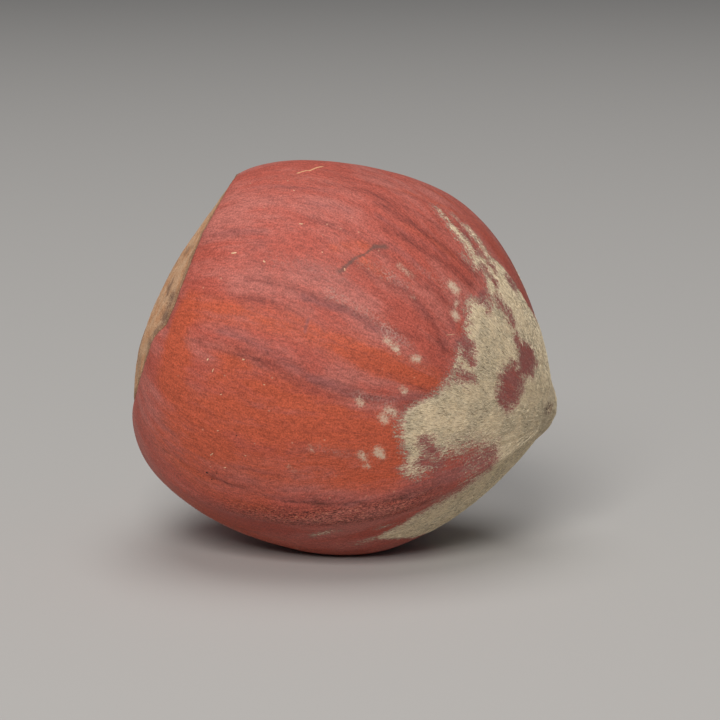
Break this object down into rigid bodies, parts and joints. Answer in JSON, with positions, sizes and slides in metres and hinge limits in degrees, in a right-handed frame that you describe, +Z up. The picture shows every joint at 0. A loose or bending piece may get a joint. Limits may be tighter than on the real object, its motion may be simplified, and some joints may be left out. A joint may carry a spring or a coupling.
{
  "type": "hazelnut in its shell",
  "caption": "Whole hazelnut in its closed shell, lying on its side: domed pale base disc, two soft ridges, blunt downy tip.",
  "frame": {"origin": "middle of the small flat spot that the nut lies on", "axes": "+Z up; +X from the base disc towards the tip, which dips about 15 degrees below it; -Y the side that the picture shows"},
  "size_m": [0.0212, 0.0182, 0.0195],
  "materials": {
    "shell": "satin reddish brown shell with fine lengthwise streaks and a matt tan base disc",
    "down": "matt pale grey beige down on the tip"
  },
  "bodies": {
    "root": {"hazelnut": "shell"}
  },
  "joints": []
}
